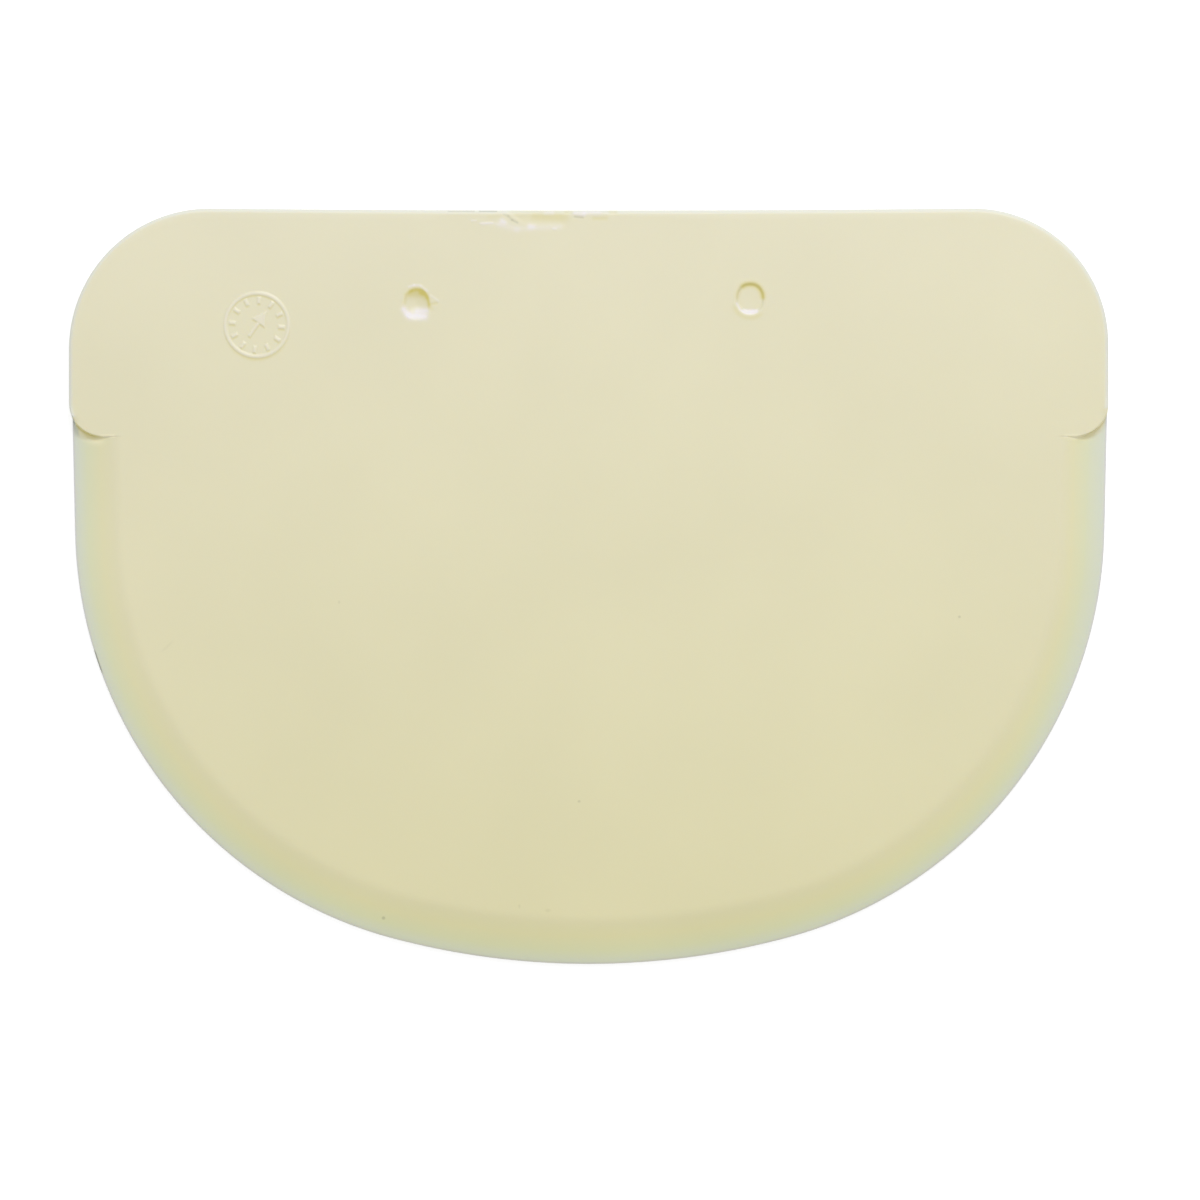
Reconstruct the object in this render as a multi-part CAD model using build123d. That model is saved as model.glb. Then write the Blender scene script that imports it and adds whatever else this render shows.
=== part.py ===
from build123d import *
import math
import os

# Bowl scraper, moulded in one piece of plastic. It lies on its plain back with the bevelled
# face up: X runs along the straight edge, Y from the curved edge to the straight edge, Z out
# of the face. The origin is the middle of the footprint, on the back.
# Lengths are in millimetres, angles in degrees.

# Whole plate
plate_width = 120.0
plate_depth = 87.3
plate_thickness = 2.5
back_edge_radius = 0.3

# Handle slab, the full-thickness band along the straight edge
slab_depth = 26.5
slab_top_radius = 16.4
slab_step_radius = 4.3
slab_edge_radius = 0.5
straight_edge_dip = 0.3

# Blade, the D below the slab: leaning sides, round shoulders and a flatter crown
side_setback = 0.18
side_lean = 1.3
shoulder_radius = 49.5
crown_radius = 86.1

# Scraping rim: the bevel from the full thickness down to a thin lip
lip_thickness = 0.8
lip_edge_radius = 0.3
bevel_width = 5.2
bevel_blend_radius = 4.0

# Ejector-pin marks in the face, each placed from the middle and down from the straight edge
clean_mark_x = 18.6
clean_mark_drop = 10.4
clean_mark_diameter = 3.5
clean_mark_depth = 0.28
clean_mark_slope = 0.45
deep_mark_x = -19.8
deep_mark_drop = 11.0
deep_mark_diameter = 3.3
deep_mark_depth = 0.6
nick_reach = 2.6
nick_root_radius = 0.6

# Shallow break in the face where the gate was torn off the straight edge
gate_break_x = -5.7
gate_break_length = 8.2
gate_break_reach = 2.1
gate_break_depth = 0.2

# How far a cutting shape runs past the plastic
overrun = 1.0

# Places worked out from the sizes above
straight_edge_y = plate_depth / 2
step_y = straight_edge_y - slab_depth
blade_top_y = step_y + slab_step_radius + 2 * slab_edge_radius
bevel_angle = math.atan((plate_thickness - lip_thickness) / bevel_width)
blend_run = bevel_blend_radius * math.tan(bevel_angle / 2)
rim_width = bevel_width + 2 * blend_run


def slab_outline():
    """The handle slab seen from above, with its straight edge dipping a little in the middle."""
    side = plate_width / 2
    flat_half = side - slab_top_radius
    corner_rise = straight_edge_dip * ((side / flat_half) ** 2 - 1)
    corner_y = straight_edge_y + corner_rise
    lower_left, lower_right = (-side, step_y), (side, step_y)
    upper_left, upper_right = (-side, corner_y), (side, corner_y)
    edges = [
        Line(lower_left, lower_right),
        Line(lower_right, upper_right),
        ThreePointArc(upper_right, (0, straight_edge_y - straight_edge_dip), upper_left),
        Line(upper_left, lower_left),
    ]
    outline = make_face(edges)
    corners = outline.vertices().group_by(Axis.Y)
    outline = fillet(corners[0], slab_step_radius)
    return fillet(outline.vertices().group_by(Axis.Y)[-1], slab_top_radius)


def handle_slab():
    """The slab at full thickness, its front and back edges rounded all the way round."""
    slab = extrude(slab_outline(), plate_thickness)
    slab = fillet(slab.edges().group_by(Axis.Z)[-1], slab_edge_radius)
    return fillet(slab.edges().group_by(Axis.Z)[0], back_edge_radius)


def curved_edge(inset):
    """The blade's edge from its left side round the curve to its right side, drawn inset from
    the real one. The shoulders touch the leaning sides and the crown without a corner."""
    lean = math.radians(side_lean)
    down = Vector(math.sin(lean), -math.cos(lean))
    inward = Vector(math.cos(lean), math.sin(lean))
    crown_centre = Vector(0, crown_radius - plate_depth / 2)
    step_corner = Vector(side_setback - plate_width / 2, step_y)
    reach = step_corner + inward * shoulder_radius - crown_centre
    along = reach.dot(down)
    between_centres = crown_radius - shoulder_radius
    side_run = math.sqrt(along**2 - reach.length**2 + between_centres**2) - along
    side_end = step_corner + down * side_run
    shoulder_centre = side_end + inward * shoulder_radius
    offset = crown_centre - shoulder_centre
    crown_half_angle = math.degrees(math.atan2(offset.X, offset.Y))
    shoulder_angle = 90 - side_lean - crown_half_angle

    side_top = side_end - down * ((blade_top_y - side_end.Y) / math.cos(lean))
    start = side_top + inward * inset
    left_side = Line(start, side_end + inward * inset)
    left_shoulder = JernArc(left_side @ 1, down, shoulder_radius - inset, shoulder_angle)
    crown = JernArc(left_shoulder @ 1, left_shoulder % 1, crown_radius - inset, 2 * crown_half_angle)
    right_shoulder = JernArc(crown @ 1, crown % 1, shoulder_radius - inset, shoulder_angle)
    right_side = Line(right_shoulder @ 1, (-start.X, start.Y))
    return Wire([left_side, left_shoulder, crown, right_shoulder, right_side])


def rim_section():
    """The rim cut square to its edge: thin lip, straight bevel and a soft blend into the face."""
    profile = FilletPolyline(
        (rim_width, 0),
        (0, 0),
        (0, lip_thickness),
        (bevel_width, plate_thickness),
        (rim_width, plate_thickness),
        radius=[back_edge_radius, lip_edge_radius, bevel_blend_radius],
    )
    return make_face([profile, Line(profile @ 1, profile @ 0)])


def scraping_rim():
    """The rim section carried round the curved edge."""
    edge = curved_edge(0)
    heading = edge % 0
    inward = Vector(-heading.Y, heading.X)
    return sweep(Plane(edge @ 0, x_dir=inward, z_dir=heading) * rim_section(), path=edge)


def blade_core():
    """The full-thickness middle of the blade. It reaches into the rim and up into the slab."""
    edge = curved_edge(rim_width - blend_run / 2)
    outline = make_face([edge, Line(edge @ 1, edge @ 0)])
    return extrude(outline, plate_thickness)


def clean_pin_mark():
    """A flat-floored disc with a sloping wall, left by the right-hand ejector pin."""
    mouth = clean_mark_diameter / 2
    profile = make_face(
        Polyline(
            (0, -clean_mark_depth),
            (mouth - clean_mark_slope, -clean_mark_depth),
            (mouth, 0),
            (mouth, overrun),
            (0, overrun),
            close=True,
        )
    )
    disc = revolve(Plane.XZ * profile, Axis.Z)
    return Pos(clean_mark_x, straight_edge_y - clean_mark_drop, plate_thickness) * disc


def deep_pin_mark():
    """A dished pit with a pointed nick on its right, left by the left-hand ejector pin."""
    mouth = deep_mark_diameter / 2
    dish_radius = (mouth**2 + deep_mark_depth**2) / (2 * deep_mark_depth)
    dish = Pos(0, 0, dish_radius - deep_mark_depth) * Sphere(dish_radius)
    nick = Pos(nick_reach / 2, 0, 0) * Rot(0, 90, 0) * Cone(nick_root_radius, 0, nick_reach)
    return Pos(deep_mark_x, straight_edge_y - deep_mark_drop, plate_thickness) * (dish + nick)


def gate_break():
    """A shallow scoop, deepest in its middle, that runs out over the straight edge."""
    scoop_radius = gate_break_length**2 / (8 * gate_break_depth) + gate_break_depth / 2
    scoop = extrude(Plane.XZ * Circle(scoop_radius), -gate_break_reach - overrun)
    foot_y = straight_edge_y - gate_break_reach
    return Pos(gate_break_x, foot_y, plate_thickness - gate_break_depth + scoop_radius) * scoop


def scraper_plate():
    """The whole moulding."""
    plate = handle_slab() + blade_core() + scraping_rim()
    return plate - clean_pin_mark() - deep_pin_mark() - gate_break()


os.makedirs("parts", exist_ok=True)
export_step(scraper_plate(), "parts/scraper_plate.step")
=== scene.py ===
import bpy
import math
import numpy as np
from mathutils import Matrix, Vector
from mathutils.geometry import delaunay_2d_cdt
from mathutils.kdtree import KDTree


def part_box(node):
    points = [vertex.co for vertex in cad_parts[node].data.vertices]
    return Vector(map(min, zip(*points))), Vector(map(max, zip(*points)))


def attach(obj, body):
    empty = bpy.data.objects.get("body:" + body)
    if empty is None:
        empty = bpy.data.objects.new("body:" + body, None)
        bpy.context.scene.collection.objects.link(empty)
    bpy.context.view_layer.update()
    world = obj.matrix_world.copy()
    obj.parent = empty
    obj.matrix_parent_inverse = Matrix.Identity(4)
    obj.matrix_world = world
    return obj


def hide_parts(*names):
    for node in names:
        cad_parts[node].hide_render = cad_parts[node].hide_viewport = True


# Bowl scraper: one moulding in cream polypropylene. It lies on its plain back with the
# bevelled face up. X runs along the straight edge, Y from the curved edge to the straight
# edge, Z out of the face.
# The plan is drawn in millimetres. Meshes, lights and the camera are in metres.

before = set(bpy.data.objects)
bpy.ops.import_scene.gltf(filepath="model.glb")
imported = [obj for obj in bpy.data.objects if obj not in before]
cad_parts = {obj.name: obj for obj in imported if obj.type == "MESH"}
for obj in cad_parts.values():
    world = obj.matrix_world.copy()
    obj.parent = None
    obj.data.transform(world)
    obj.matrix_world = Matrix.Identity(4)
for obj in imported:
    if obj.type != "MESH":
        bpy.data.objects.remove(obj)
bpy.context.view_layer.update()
MM = 0.001

# The whole plate, from the frame. The dial's raised lines reach its full height
plate_low, plate_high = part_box("scraper_plate")
plate_width = (plate_high.x - plate_low.x) / MM
dial_line_height = 0.1
face_height = (plate_high.z - plate_low.z) / MM - dial_line_height
straight_edge_y = plate_high.y / MM
crown_y = plate_low.y / MM
back_edge_radius = 0.3

# Handle slab
slab_depth = 26.32
slab_left_radius = 16.2
slab_right_radius = 15.6
slab_step_radius = 3.9
slab_edge_radius = 0.5
straight_edge_dip = 0.22
step_y = straight_edge_y - slab_depth

# Blade
left_setback = 0.36
right_setback = 0.11
side_lean = 1.3
shoulder_radius = 49.5
crown_radius = 88.5
blade_top_y = step_y + slab_step_radius + 2 * slab_edge_radius

# Scraping rim
lip_thickness = 0.8
lip_edge_radius = 0.3
bevel_width = 5.2
bevel_blend = 0.3
bevel_blend_reach = 1.1

# The short wall where the slab stands above the bevel, and its sharper edge
wall_steepness = 12.0
wall_foot = 0.2
wall_end_x = 53.0
wall_edge_share = 0.32
wall_edge_fade = 1.5

# Light comes from beyond the straight edge and a little from the right, so a pin mark's walls
# are dark on that side and pale on the other. The leans are in degrees, to the right of upwards
dark_lean = 38.0
pale_lean = 17.0

# A pair of sizes gives where something starts to ease in and where it is full. Shade is painted
# shade, olive up to 1 and grey down to -1, and whitening is painted highlight and bruising, up to 1.

# Right-hand ejector-pin mark: a flat-floored disc, whose lower wall is the wider
clean_mark = np.array([18.64, straight_edge_y - 10.43])
clean_mark_mouth = 1.9
clean_mark_width_share = 0.89
clean_mark_squareness = 2.2
clean_mark_depth = 0.28
clean_mark_wall = 0.42
clean_mark_lower_wall = 0.66
clean_mark_lower_shares = (0.4, 0.9)
clean_mark_lip = 0.02
clean_mark_lip_out = 0.15
clean_mark_lip_width = 0.25
clean_mark_reach = 2.3

# Its painted shade: an olive arc on the upper wall, which faces away from the light, and a faint one just
# below the mark
clean_arc_share = 0.55
clean_arc_width_share = 0.75
clean_arc_upper_shares = (-0.15, 0.1)
clean_arc_dark_shares = (-0.05, 0.367)
clean_arc_least = 0.35
clean_arc_olive = 0.85
clean_below_out = 0.3
clean_below_width = 0.22
clean_below_shares = (0.5, 0.833)
clean_below_olive = 0.25

# Its painted highlight: a pale crescent on the lower wall, which faces the light, with a horn on the lower
# left
clean_crescent_rim = 0.167
clean_crescent_drop = (1.05, 1.407)
clean_crescent_right = (1.25, 0.694)
clean_crescent_white = 0.95
clean_horn = ((-1.52, -0.55), (-1.15, -1.25))
clean_horn_width = 0.13
clean_horn_white = 0.65

# Left-hand ejector-pin mark: a dished pit, wider at its foot
deep_mark = np.array([-19.85, straight_edge_y - 11.04])
deep_mark_mouth = 1.86
deep_mark_width_share = 0.83
deep_mark_flare = 0.06
deep_mark_squareness = 2.2
deep_mark_depth = 0.5
deep_mark_reach = 3.0
# Painted shade: an olive arc on the wall that faces away from the light
deep_arc_in = 0.2
deep_arc_width = 0.25
deep_arc_dark_shares = (0.05, 0.505)
deep_arc_olive = 0.75

# Burrs and a nick in and round it, with painted shade on its walls, floor and nick and painted
# highlight on the burrs, the lower lobes and the nick's ridge: from, to (x and y from its middle),
# half width, height, shade and whitening
deep_mark_strokes = {
    "burr on the left": ((-0.90, 1.98), (-0.30, 2.16), 0.13, 0.02, 0.0, 0.45),
    "burr above": ((-0.30, 2.16), (0.40, 2.14), 0.13, 0.02, 0.0, 0.45),
    "burr on the right": ((0.50, 2.08), (1.20, 1.50), 0.13, 0.02, 0.0, 0.45),
    "upper wall": ((-0.80, 1.15), (0.50, 1.20), 0.45, 0.0, 0.50, 0.0),
    "golden wall": ((0.50, 1.25), (1.05, 0.75), 0.30, 0.0, 0.35, 0.0),
    "left wall": ((-1.25, 1.10), (-1.35, 0.20), 0.22, 0.0, 0.25, 0.0),
    "right of the floor": ((0.30, 0.30), (0.80, 0.40), 0.50, 0.0, 0.12, 0.0),
    "left lobe": ((-1.45, -0.65), (-1.10, -1.15), 0.36, 0.02, 0.0, 0.85),
    "bottom": ((-0.75, -1.38), (0.85, -1.42), 0.44, 0.03, 0.0, 1.0),
    "right lobe": ((0.05, -0.75), (1.10, -0.75), 0.34, 0.03, 0.0, 0.75),
    "nick's ridge": ((1.60, 0.98), (2.45, 0.38), 0.14, 0.02, 0.0, 0.3),
    "nick": ((1.60, -0.05), (2.30, 0.10), 0.18, -0.03, 0.3, 0.0),
    "below the nick": ((1.65, -0.45), (1.75, -0.60), 0.22, -0.01, 0.2, 0.0),
}

# Plain dial of raised lines, such as a mould carries to show its wear
dial_middle = np.array([-38.3, straight_edge_y - 13.45])
dial_radius = 3.65
dial_line_width = 0.36
dial_line_soft = 0.11
# Painted shade on the flanks of the lines that face away from the light, and painted highlight on their
# crests
dial_flank_reach = 0.22
dial_flank_shade = 0.4
dial_crest_highlight = 0.2
dial_ticks = 12
dial_tick_middle = 2.85
dial_tick_length = 0.75
dial_arrow_turn = 35
dial_arrow_tail = -1.6
dial_arrow_neck = 0.3
dial_arrow_tip = 1.9
dial_arrow_flare = 0.55

# Torn gate: a shallow break that runs out over the straight edge
gate_left_x = -9.6
gate_right_x = -1.9
gate_reach = 1.75
gate_depth = 0.05
# Painted shade in the scoop of the break
gate_olive = 0.13
gate_left_lean = 1.35
gate_lean_drop = 0.3
gate_left_run = 0.9
gate_foot_rise = 0.06
gate_foot_run = 1.1
gate_right_run = 1.6

# Marks round it, whose shade is painted shade in tears, dents and creases and whose whitening is
# partly bruising and partly painted highlight on nicks and edges: from, to (x from the middle,
# drop from the straight edge), half width, height, shade and whitening
gate_strokes = {
    "left edge line": ((-16.2, 0.12), (-13.2, 0.12), 0.07, 0.0, -0.24, 0.0),
    "right edge line": ((-12.6, 0.12), (-10.6, 0.12), 0.07, 0.0, -0.34, 0.0),
    "upper nick": ((-13.5, 1.20), (-13.0, 1.20), 0.10, 0.03, 0.0, 0.45),
    "long nick": ((-12.5, 1.53), (-11.1, 1.48), 0.11, 0.03, 0.0, 0.45),
    "first flow": ((-12.2, 1.55), (-10.2, 1.60), 0.28, 0.01, 0.0, 0.20),
    "first bruise": ((-10.0, 1.20), (-9.7, 1.40), 0.30, 0.02, 0.0, 0.60),
    "upper tear": ((-9.80, 0.50), (-9.30, 0.70), 0.15, -0.015, -0.10, 0.0),
    "middle tear": ((-9.30, 0.70), (-8.85, 1.14), 0.15, -0.015, -0.14, 0.0),
    "lower tear": ((-8.85, 1.14), (-8.25, 1.44), 0.13, -0.02, -0.21, 0.0),
    "second flow": ((-10.2, 1.65), (-8.3, 2.20), 0.40, 0.01, 0.0, 0.28),
    "third flow": ((-8.3, 2.20), (-6.8, 2.05), 0.35, 0.01, 0.0, 0.22),
    "second bruise": ((-6.8, 1.82), (-6.4, 1.88), 0.30, 0.02, 0.0, 0.46),
    "foot of the break": ((-6.8, 2.05), (-3.3, 1.95), 0.35, 0.01, 0.0, 0.28),
    "pip": ((-4.1, 2.14), (-3.8, 2.14), 0.12, 0.04, 0.0, 0.4),
    "pink edge": ((-5.0, 0.30), (-4.2, 0.30), 0.25, 0.02, 0.0, 0.4),
    "first edge dent": ((-2.6, 0.20), (-2.0, 0.20), 0.25, -0.05, 0.25, 0.0),
    "chip": ((-1.6, 0.36), (-0.5, 0.50), 0.24, 0.06, 0.0, 0.55),
    "under the chip": ((-1.6, 0.76), (-0.7, 0.86), 0.12, -0.03, -0.24, 0.0),
    "pale edge": ((-0.5, 0.25), (1.2, 0.25), 0.28, 0.03, 0.0, 0.45),
    "second edge dent": ((2.5, 0.22), (3.1, 0.22), 0.25, -0.05, 0.25, 0.0),
    "olive left of the tear": ((-11.5, 0.75), (-10.3, 0.75), 0.3, 0.0, 0.10, 0.0),
    "olive foot": ((-6.2, 0.75), (-2.6, 0.85), 0.45, 0.0, 0.2, 0.0),
    "shallow dent": ((0.6, 0.95), (2.0, 0.95), 0.25, -0.02, 0.25, 0.0),
}
scar_left_x = -16.5
scar_right_x = 4.2
scar_drop = 2.9

# Painted shadow: a dark line on the lip of the left shoulder
lip_shadow_low_y = -9.9
lip_shadow_high_y = -7.4
lip_shadow_fade = 0.333
lip_shadow_in = 0.1
lip_shadow_width = 0.07
lip_shadow_grey = 0.8

# Shade along the foot of the short walls. The fades are measured in from the lip
foot_line_out = 0.08
foot_line_width = 0.2
foot_line_top = 0.12
foot_line_fade = (3.9, 2.275)
left_foot_olive = 0.85
left_foot_grey = 1.3
left_foot_grey_fade = (0.44, 0.24)
left_foot_loss = 0.12
left_foot_loss_fade = (1.2, 2.0)
right_foot_olive = 0.35
right_foot_gain = 0.1
right_foot_gain_fade = (2.2, 1.4)
fringe_out = 0.42
fringe_fade = (0.8, 1.8)
left_fringe_olive = 0.35
right_fringe_olive = 0.25
junction_margin = 0.05

# Painted shade: the bevel is greyer in the corner just below each junction
corner_in = 0.2
corner_width = 0.45
corner_below = 0.6
corner_length = 0.9
left_corner_grey = 0.17
right_corner_grey = 0.06

# Light from the slab on the bevel under its walls. The fades are measured in from the lip
glow_most = 0.95
left_glow_out = 0.45
left_glow_width = 0.45
left_glow_fades = ((4.16, 2.427), (0.52, 0.953))
right_glow_out = 0.1
right_glow_width = 0.2
right_glow_gain = 0.25
right_glow_gain_fade = (3.38, 2.34)
right_glow_fades = ((4.94, 3.64), (0.104, 0.537))
shallow_glow_most = 0.9
shallow_glow_in = 0.03
shallow_glow_width = 0.16
shallow_glow_fades = ((2.6, 3.64), (bevel_width, 4.767))

# Painted highlight on the slab's own rounded edge
edge_highlight_most = 0.75
edge_highlight_fade = (0.6, 0.1)
edge_highlight_below = 0.3

# The plastic's colour at each wall thickness
wall_tints = [(0.6, "#d9d9df"), (0.95, "#d6dbcf"), (1.3, "#dbddc0"), (1.8, "#e1ddba"), (2.35, "#e1dcc0")]

# The tint takes the middle of the bevel on the right as a little thinner than it is: by how
# much, where across the plate, and how near to the wall thickness there
thin_side_loss = 0.2
thin_side_x = (49.0, 56.0)
thin_side_wall = 1.65
thin_side_fade = (0.7, 0.25)

# Pigment, painted light and shade, and skin
# Painted shade: the colour goes towards the first tint at the crown, away from the soft box, and keeps the
# second at the gate
crown_painted_shade = "#fdfce7"
gate_painted_shade = "#ffffff"
cloud_size = 22.0
cloud_range = (0.985, 1.015)
noise_range = (0.3, 0.7)
skin_grain = 1.1
skin_depth = 0.02
skin_strength = 0.15
gloss_patch = 6.0
roughness_range = (0.31, 0.37)
bruise_and_highlight_roughness = 0.3
edge_roughness = 0.5
refraction = 1.49
scatter_weight = 0.1
scatter_tint = (1.0, 0.75, 0.35)
scatter_reach = 0.5
# Tints of painted highlight on the slab's edge, of painted light under its walls, of painted olive and
# grey shade, and of painted highlight and bruising
edge_highlight_tint = "#e0e3de"
glow_tint = "#f6f0d0"
olive_tint = "#d2c66e"
grey_tint = "#666e54"
bruise_and_highlight_tint = "#ebe6e8"

# Specks and a scratch in the face: where (x, y from the middle), half length, half width,
# turn in degrees and strength
specks = [
    (-28.8, -1.8, 0.2, 0.3, 0, 0.1),
    (-1.1, -24.8, 0.25, 0.22, 0, 0.2),
    (-23.7, -38.3, 0.3, 0.28, 0, 0.3),
    (-8.0, -36.9, 0.2, 0.35, 0, 0.09),
    (-4.7, -37.4, 0.5, 0.3, 0, 0.08),
    (42.8, -3.5, 0.25, 0.22, 0, 0.2),
    (-48.6, -6.9, 1.3, 0.25, 43, 0.05),
]
speck_tint = "#6e6a45"
speck_core_share = 0.3

# Studio, in metres and watts
floor_half = 1.5
floor_gap = 0.02 * MM
paper_tint = "#f0f0f0"
seen_paper_tint = "#c0c0c0"
seen_paper_lift = 0.66
sky_level = 0.682
soft_box_place = (0.07, 0.30, 0.40)
soft_box_size = (0.2, 0.12)
soft_box_watts = 0.98

# Camera, in metres: the width and the middle of what it sees at a height over the floor. Its
# sensor is in millimetres
view_distance = 1.0
view_width = 138.56 * MM
view_middle = (1.31 * MM, -1.56 * MM)
view_height = 2.0 * MM
sensor_width = 36.0
clip_near = 0.01
clip_far = 20

# How far apart the points of the net lie
junction_gap = 0.05
junction_reach = 1.0
wall_gap = 0.12
mark_gap = 0.08
scar_gap = 0.1
edge_gap = 0.5
open_gap = 2.6
finest_open_gap = 0.16
net_growth = 0.35
round_marks = (
    (clean_mark, clean_mark_reach),
    (deep_mark, deep_mark_reach),
    (dial_middle, dial_radius + dial_line_width),
)

# Rows of the net along the outlines, as insets from them or as the steps of a rounding
lip_steps = 5
bevel_steps = 5
blend_steps = 11
slab_edge_steps = 6
wall_edge_steps = 4
back_edge_steps = 4
wall_foot_rows = [-0.6, -0.48, -0.37, -0.28, -0.21, -0.16, -0.12, -0.08, -0.04, 0]
wall_top_rows = [0.22, 0.3, 0.4, 0.5]
scar_rows_stop = 3.0
back_band = 2.2

# How close a new point may come to the kept ones, what counts as on a line, and how many
# halvings find where two outlines cross
wall_clearance = 0.02
row_clearance = 0.03
patch_clearance_share = 0.6
net_clearance_share = 0.62
row_share = 0.98
scar_margin = 0.01
edge_margin = 1e-4
foot_margin = 1e-6
joining_margin = 1e-7
meeting_halvings = 40


class Outline:
    """A smooth line of straight runs and arcs, with the plastic on its left."""

    def __init__(self, start, heading):
        self.pieces = []
        self.tip = np.array(start, float)
        self.heading = math.radians(heading)
        self.length = 0.0

    def run(self, length, bend=0.0):
        """Goes on for a length. The bend is one over the radius, positive to the left."""
        self.pieces.append((self.tip, self.heading, length, bend))
        self.tip = step_along(self.tip, self.heading, bend, np.array([length]))[0]
        self.heading += bend * length
        self.length += length
        return self

    def turn(self, radius, degrees):
        """Turns left round a radius, or right if the radius is negative."""
        return self.run(abs(radius) * math.radians(degrees), 1 / radius)

    def at(self, along, inset=0.0):
        """The places a length along the line, set in from it by an inset."""
        along = np.atleast_1d(along) % self.length
        places = np.zeros((len(along), 2))
        begin = 0.0
        for start, heading, length, bend in self.pieces:
            here = (along >= begin) & (along <= begin + length)
            way = along[here] - begin
            turned = heading + bend * way
            side = np.stack([-np.sin(turned), np.cos(turned)], axis=1)
            places[here] = step_along(start, heading, bend, way) + side * inset
            begin += length
        return places

    def inset(self, points):
        """How far each point lies inside the line, negative outside it."""
        nearest = np.full(len(points), np.inf)
        for start, heading, length, bend in self.pieces:
            if bend == 0:
                ahead = np.array([math.cos(heading), math.sin(heading)])
                side = np.array([-ahead[1], ahead[0]])
                way = (points - start) @ ahead
                depth = (points - start) @ side
            else:
                centre = start + np.array([-math.sin(heading), math.cos(heading)]) / bend
                spoke = (centre - points) * np.sign(bend)
                reach = np.hypot(spoke[:, 0], spoke[:, 1])
                depth = np.sign(bend) * (1 / abs(bend) - reach)
                turned = np.arctan2(-spoke[:, 0], spoke[:, 1]) - heading
                way = ((turned + math.pi) % (2 * math.pi) - math.pi) / bend
            foot_here = (way > -foot_margin) & (way < length + foot_margin)
            closer = foot_here & (np.abs(depth) < np.abs(nearest))
            nearest = np.where(closer, depth, nearest)
        return nearest


def step_along(start, heading, bend, way):
    """Where an evenly bending run is after each length in way."""
    if bend == 0:
        return start + way[:, None] * np.array([math.cos(heading), math.sin(heading)])
    turned = heading + bend * way
    across = np.sin(turned) - math.sin(heading)
    up = math.cos(heading) - np.cos(turned)
    return start + np.stack([across, up], axis=1) / bend


def top_corner(radius, dip_radius):
    """A top corner's degrees of lean into the dipping edge, and the height of its middle."""
    reach = dip_radius + radius
    lean = math.asin((plate_width / 2 - radius) / reach)
    dip_centre_y = straight_edge_y - straight_edge_dip + dip_radius
    return math.degrees(lean), dip_centre_y - reach * math.cos(lean)


def slab_outline():
    """The handle slab, from its left side round the step, the right side and the top."""
    side = plate_width / 2
    rise = straight_edge_dip * (side / (side - slab_right_radius)) ** 2
    dip_radius = (side**2 + rise**2) / (2 * rise)
    left_lean, left_corner_y = top_corner(slab_left_radius, dip_radius)
    right_lean, right_corner_y = top_corner(slab_right_radius, dip_radius)
    side_foot = step_y + slab_step_radius
    line = Outline((-side, side_foot), -90)
    line.turn(slab_step_radius, 90).run(plate_width - 2 * slab_step_radius)
    line.turn(slab_step_radius, 90).run(right_corner_y - side_foot)
    line.turn(slab_right_radius, 90 + right_lean).turn(-dip_radius, left_lean + right_lean)
    return line.turn(slab_left_radius, 90 + left_lean).run(left_corner_y - side_foot)


def blade_side(setback):
    """One side of the blade: where it starts at the foot of the slab, the length of its
    straight part, and the degrees that its shoulder and its half of the crown turn."""
    lean = math.radians(side_lean)
    down = np.array([math.sin(lean), -math.cos(lean)])
    inward = np.array([math.cos(lean), math.sin(lean)])
    crown_centre = np.array([0, crown_radius + crown_y])
    step_corner = np.array([setback - plate_width / 2, step_y])
    reach = step_corner + inward * shoulder_radius - crown_centre
    along = reach @ down
    between_centres = crown_radius - shoulder_radius
    run = math.sqrt(along**2 - reach @ reach + between_centres**2) - along
    shoulder_centre = step_corner + down * run + inward * shoulder_radius
    offset = crown_centre - shoulder_centre
    crown_angle = math.degrees(math.atan2(offset[0], offset[1]))
    above_step = (blade_top_y - step_y) / math.cos(lean)
    start = step_corner - down * above_step
    return start, run + above_step, 90 - side_lean - crown_angle, crown_angle


def blade_outline():
    """The blade's curved edge, from its left side round the crown to its right side."""
    start, left_run, left_shoulder, left_crown = blade_side(left_setback)
    _, right_run, right_shoulder, right_crown = blade_side(right_setback)
    line = Outline(start, side_lean - 90)
    line.run(left_run).turn(shoulder_radius, left_shoulder)
    line.turn(crown_radius, left_crown + right_crown).turn(shoulder_radius, right_shoulder)
    return line.run(right_run)


slab = slab_outline()
blade = blade_outline()


def blade_inset(points):
    """The blade ends under the slab, so above its top nothing counts as inside it."""
    return np.where(points[:, 1] > blade_top_y, -1.0, blade.inset(points))


def plate_inset(points):
    return np.maximum(slab.inset(points), blade_inset(points))


def corner_meeting(start, way):
    """How far round the slab's lower corner it crosses the blade's side."""
    outside, inside = 0.0, slab_step_radius
    for _ in range(meeting_halvings):
        middle = (outside + inside) / 2
        if blade.inset(slab.at(start + way * middle))[0] < 0:
            outside = middle
        else:
            inside = middle
    return middle


slab_step_length = math.pi * slab_step_radius + plate_width - 2 * slab_step_radius
left_meeting = corner_meeting(0, 1)
right_meeting = corner_meeting(slab_step_length, -1)
left_junction = slab.at(left_meeting)[0]
right_junction = slab.at(slab_step_length - right_meeting)[0]
blade_start = float(np.hypot(*(left_junction - blade.at(0.0)[0])))
blade_stop = blade.length - float(np.hypot(*(right_junction - blade.tip)))


def distance(points, centre):
    return np.hypot(points[:, 0] - centre[0], points[:, 1] - centre[1])


def ease(value, start=0.0, stop=1.0):
    """Eases from 0 at the start to 1 at the stop, with level ends."""
    share = np.clip((value - start) / (stop - start), 0, 1)
    return share * share * (3 - 2 * share)


def bump(gap, width):
    """A soft ridge of height 1 that fades within about the width."""
    return np.exp(-((gap / width) ** 2))


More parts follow.
